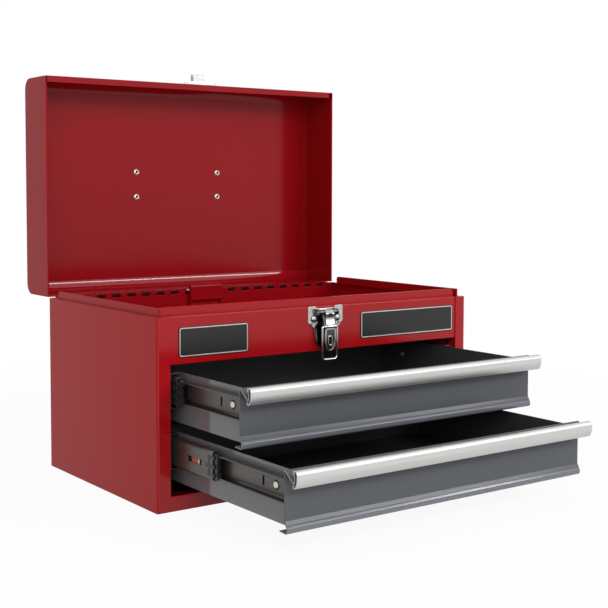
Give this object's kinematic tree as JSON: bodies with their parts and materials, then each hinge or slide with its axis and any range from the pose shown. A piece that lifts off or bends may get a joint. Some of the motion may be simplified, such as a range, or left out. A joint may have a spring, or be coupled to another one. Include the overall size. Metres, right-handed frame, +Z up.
{
  "type": "portable tool box",
  "caption": "Portable sheet metal tool box with a hinged lid open over its upper compartment and two drawers on telescopic slides pulled part way out.",
  "frame": {"origin": "centre of the body's footprint, on the surface it stands on", "axes": "+X to the right seen from the front, -Y towards the front, +Z up"},
  "size_m": [0.405, 0.5363, 0.4565],
  "materials": {
    "red_paint": "gloss",
    "grey_paint": "gloss",
    "slide_zinc": "satin",
    "bright_nickel": "polished",
    "trim_aluminium": "satin",
    "rivet_steel": "satin",
    "plate_black": "gloss",
    "cage_black": "matte",
    "grip_black": "matte",
    "mat_black": "matte"
  },
  "bodies": {
    "cabinet": {"side_left": "red_paint", "side_right": "red_paint", "back_panel": "red_paint", "bottom_panel": "red_paint", "front_rail": "red_paint", "till_floor": "red_paint", "stop_bracket": "red_paint", "stop_rivets": "rivet_steel", "post_left_front": "red_paint", "post_left_rear": "red_paint", "post_right_front": "red_paint", "post_right_rear": "red_paint", "hinge_pin": "bright_nickel", "latch_plate": "bright_nickel", "latch_rivets": "rivet_steel", "latch_pin": "bright_nickel", "name_plate_left": "plate_black", "name_plate_right": "plate_black", "upper_left_cabinet_rail": "slide_zinc", "upper_right_cabinet_rail": "slide_zinc", "lower_left_cabinet_rail": "slide_zinc", "lower_right_cabinet_rail": "slide_zinc", "cabinet_rail_rivets": "rivet_steel"},
    "lid": {"lid_shell": "red_paint", "lid_end_left": "red_paint", "lid_end_right": "red_paint", "lid_keeper": "bright_nickel", "keeper_rivets": "rivet_steel", "handle_bracket_left": "bright_nickel", "handle_bracket_right": "bright_nickel", "handle_rivets": "rivet_steel"},
    "bail": {"handle_bail": "bright_nickel", "handle_grip": "grip_black"},
    "lever": {"latch_lever": "bright_nickel"},
    "loop": {"latch_loop": "bright_nickel"},
    "upper_middle_rails": {"upper_left_middle_rail": "slide_zinc", "upper_right_middle_rail": "slide_zinc", "upper_left_ball_cage": "cage_black", "upper_right_ball_cage": "cage_black"},
    "upper_drawer": {"upper_front": "grey_paint", "upper_trim": "trim_aluminium", "upper_box": "grey_paint", "upper_mat": "mat_black", "upper_left_drawer_rail": "slide_zinc", "upper_right_drawer_rail": "slide_zinc", "upper_drawer_rivets": "rivet_steel"},
    "lower_middle_rails": {"lower_left_middle_rail": "slide_zinc", "lower_right_middle_rail": "slide_zinc", "lower_left_ball_cage": "cage_black", "lower_right_ball_cage": "cage_black"},
    "lower_drawer": {"lower_front": "grey_paint", "lower_trim": "trim_aluminium", "lower_box": "grey_paint", "lower_mat": "mat_black", "lower_left_drawer_rail": "slide_zinc", "lower_right_drawer_rail": "slide_zinc", "lower_drawer_rivets": "rivet_steel"}
  },
  "joints": [
    {"name": "lid_hinge", "type": "hinge", "parent": "cabinet", "child": "lid", "pos_m": [0, 0.1275, 0.19], "axis": [1, 0, 0], "range_deg": [0, 90]},
    {"name": "handle_swing", "type": "hinge", "parent": "lid", "child": "bail", "pos_m": [0, 0.1928, 0.3207], "axis": [1, 0, 0], "range_deg": [0, 170]},
    {"name": "latch_lever_turn", "type": "hinge", "parent": "cabinet", "child": "lever", "pos_m": [0, -0.1295, 0.186], "axis": [-1, 0, 0], "range_deg": [0, 90]},
    {"name": "latch_loop_turn", "type": "hinge", "parent": "lever", "child": "loop", "pos_m": [0, -0.1325, 0.17065], "axis": [-1, 0, 0], "range_deg": [0, 90]},
    {"name": "upper_middle_slide", "type": "slide", "parent": "cabinet", "child": "upper_middle_rails", "axis": [0, -1, 0], "range_m": [-0.012, 0.088]},
    {"name": "upper_drawer_slide", "type": "slide", "parent": "upper_middle_rails", "child": "upper_drawer", "axis": [0, -1, 0], "range_m": [-0.106, 0.003]},
    {"name": "lower_middle_slide", "type": "slide", "parent": "cabinet", "child": "lower_middle_rails", "axis": [0, -1, 0], "range_m": [-0.079, 0.021]},
    {"name": "lower_drawer_slide", "type": "slide", "parent": "lower_middle_rails", "child": "lower_drawer", "axis": [0, -1, 0], "range_m": [-0.109, 0]}
  ]
}
